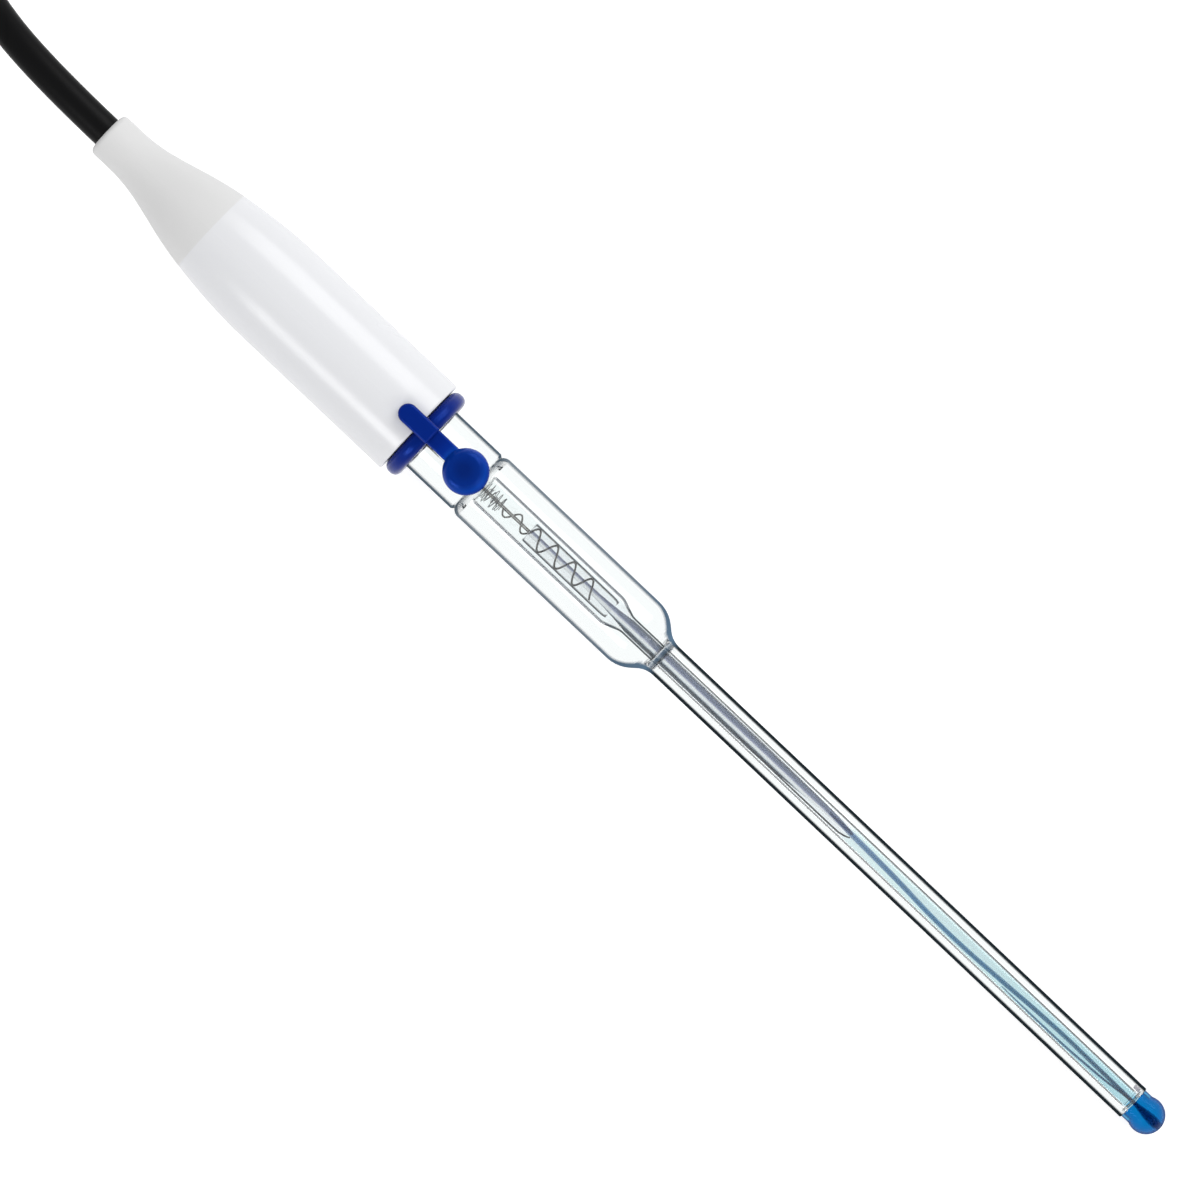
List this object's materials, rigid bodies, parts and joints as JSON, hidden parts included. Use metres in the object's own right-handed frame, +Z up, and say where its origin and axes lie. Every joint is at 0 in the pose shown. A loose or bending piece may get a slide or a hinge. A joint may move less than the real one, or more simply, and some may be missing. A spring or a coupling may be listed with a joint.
{
  "type": "ph electrode",
  "caption": "Glass combination pH electrode with a slim stem, blue bulb, white cap, silicone refill stopper and a coaxial cable with a bayonet plug.",
  "frame": {"origin": "middle of the electrode's footprint, on the surface it lies on, its cable left out", "axes": "+X along the electrode towards its tip, +Z up through the refill stopper; the electrode's own axis falls about 2 degrees towards the tip"},
  "size_m": [0.3796, 0.0508, 0.0191],
  "materials": {
    "clear_glass": "clear, flame polished",
    "membrane_glass": "blue tinted, flame polished",
    "junction_ceramic": "porous, matt",
    "pale_gel": "clear pale cyan gel",
    "rod_grey": "satin grey",
    "silver_wire": "drawn silver, dulled",
    "glass_wool": "tangled glass fibre",
    "cap_white": "high gloss",
    "boot_white": "matt",
    "potting_resin": "cast resin",
    "cable_black": "satin extruded",
    "insulation_clear": "milky",
    "tinned_copper": "tinned",
    "shrink_sleeve": "matt",
    "silicone_blue": "soft satin",
    "tie_black": "woven hook and loop",
    "plug_rubber": "matt moulded",
    "nickel_plate": "bright nickel",
    "plug_dielectric": "smooth",
    "gold_plate": "polished gold plate"
  },
  "bodies": {
    "root": {"outer_glass_body": "clear_glass", "inner_glass_tube": "clear_glass", "membrane_bulb": "membrane_glass", "ceramic_junction": "junction_ceramic", "inner_gel": "pale_gel", "reference_rod": "rod_grey", "wire_coil": "silver_wire", "lead_wire": "silver_wire", "reference_wire": "silver_wire", "glass_wool_plug": "glass_wool", "cap_shell": "cap_white", "cable_boot": "boot_white", "cap_potting": "potting_resin", "glass_top_bung": "potting_resin", "jacket_end": "cable_black", "cable": "cable_black", "cable_hank": "cable_black", "cable_tail": "cable_black", "coax_insulation": "insulation_clear", "coax_core": "tinned_copper", "screen_tail": "tinned_copper", "cable_crimp": "tinned_copper", "core_sleeve": "shrink_sleeve", "screen_sleeve": "shrink_sleeve", "stopper_ring": "silicone_blue", "cable_ties": "tie_black", "plug_boot": "plug_rubber", "plug_gasket": "plug_rubber", "plug_ferrule": "nickel_plate", "plug_body": "nickel_plate", "plug_washer": "nickel_plate", "plug_insulator": "plug_dielectric", "plug_pin": "gold_plate"},
    "refill_plug": {"refill_stopper": "silicone_blue"},
    "plug_ring": {"coupling_ring": "nickel_plate"}
  },
  "joints": [
    {"name": "stopper_lift", "type": "hinge", "parent": "root", "child": "refill_plug", "pos_m": [-0.04275, 0, 0.01607], "axis": [0, -1, 0], "range_deg": [0, 90], "stiffness_Nm_per_rad": 0.0005},
    {"name": "coupling_turn", "type": "hinge", "parent": "root", "child": "plug_ring", "pos_m": [-0.20232, -0.0127, 0.00725], "axis": [1, 0, 0], "continuous": true}
  ]
}
